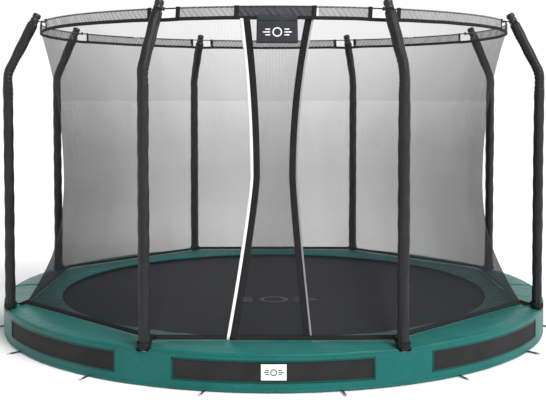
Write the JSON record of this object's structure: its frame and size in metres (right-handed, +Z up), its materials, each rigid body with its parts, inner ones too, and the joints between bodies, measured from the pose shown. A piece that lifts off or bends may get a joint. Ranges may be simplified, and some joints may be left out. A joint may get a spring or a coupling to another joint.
{
  "type": "in-ground trampoline",
  "caption": "Round low trampoline with a sprung mat, padded teal ring and skirt, and a waisted safety net hung on bent sleeved poles with an overlapping entrance.",
  "frame": {"origin": "on the ground under the middle of the mat", "axes": "+Z up; the entrance faces -Y; +X is to the right of someone facing the entrance"},
  "size_m": [3.7296, 3.7296, 2.0458],
  "materials": {
    "galvanised_tube": "satin zinc",
    "black_rubber": "matte",
    "zinc_bracket": "satin zinc",
    "zinc_hardware": "satin",
    "sleeve_cloth": "matte coated cloth",
    "black_plastic": "satin",
    "spring_steel": "bright zinc",
    "mat_weave": "fine woven",
    "black_webbing": "matte woven",
    "teal_vinyl": "gloss coated cloth",
    "window_mesh": "fine mesh",
    "white_vinyl": "satin",
    "hoop_fibreglass": "satin",
    "band_net": "pleated net",
    "safety_net": "open net",
    "badge_vinyl": "matte"
  },
  "bodies": {
    "root": {"frame_tube_1": "galvanised_tube", "frame_tube_2": "galvanised_tube", "frame_tube_3": "galvanised_tube", "frame_tube_4": "galvanised_tube", "frame_tube_5": "galvanised_tube", "frame_tube_6": "galvanised_tube", "frame_tube_7": "galvanised_tube", "frame_tube_8": "galvanised_tube", "leg_1": "galvanised_tube", "leg_2": "galvanised_tube", "leg_3": "galvanised_tube", "leg_4": "galvanised_tube", "leg_5": "galvanised_tube", "leg_6": "galvanised_tube", "leg_7": "galvanised_tube", "leg_8": "galvanised_tube", "lower_pole_1": "galvanised_tube", "lower_pole_2": "galvanised_tube", "lower_pole_3": "galvanised_tube", "lower_pole_4": "galvanised_tube", "lower_pole_5": "galvanised_tube", "lower_pole_6": "galvanised_tube", "lower_pole_7": "galvanised_tube", "lower_pole_8": "galvanised_tube", "upper_pole_1": "galvanised_tube", "upper_pole_2": "galvanised_tube", "upper_pole_3": "galvanised_tube", "upper_pole_4": "galvanised_tube", "upper_pole_5": "galvanised_tube", "upper_pole_6": "galvanised_tube", "upper_pole_7": "galvanised_tube", "upper_pole_8": "galvanised_tube", "leg_feet": "black_rubber", "pole_sockets": "zinc_bracket", "bolts_and_nuts": "zinc_hardware", "pole_sleeves": "sleeve_cloth", "pole_caps": "black_plastic", "springs": "spring_steel", "spring_pad": "teal_vinyl", "skirt": "teal_vinyl", "skirt_windows": "window_mesh", "skirt_label": "white_vinyl", "skirt_pegs": "black_plastic", "hoop_rods": "hoop_fibreglass", "hoop_ferrules": "zinc_hardware", "top_band": "band_net", "net_left": "safety_net", "net_back": "safety_net", "net_right": "safety_net", "net_front_left": "safety_net", "net_front_right": "safety_net", "net_hem": "black_webbing", "badge": "badge_vinyl"},
    "mat": {"mat": "mat_weave", "mat_webbing": "black_webbing", "mat_rings": "spring_steel"},
    "outer_flap": {"outer_flap": "safety_net", "flap_bindings_outer": "black_webbing"},
    "inner_flap": {"inner_flap": "safety_net", "flap_bindings_inner": "black_webbing"}
  },
  "joints": [
    {"name": "mat_bounce", "type": "slide", "parent": "root", "child": "mat", "axis": [0, 0, 1], "range_m": [-0.15, 0], "stiffness_N_per_m": 6000, "springref_m": 0.03, "deforming": ["springs"]},
    {"name": "outer_flap_fold", "type": "hinge", "parent": "root", "child": "outer_flap", "pos_m": [0.52, -1.582, 0.22], "axis": [-0.359, 0, 0.9333], "range_deg": [0, 75], "stiffness_Nm_per_rad": 2, "springref_deg": -28.65},
    {"name": "inner_flap_fold", "type": "hinge", "parent": "root", "child": "inner_flap", "pos_m": [-0.4, -1.345, 0.22], "axis": [0, 0, 1], "range_deg": [0, 60], "stiffness_Nm_per_rad": 2, "springref_deg": -28.65}
  ]
}
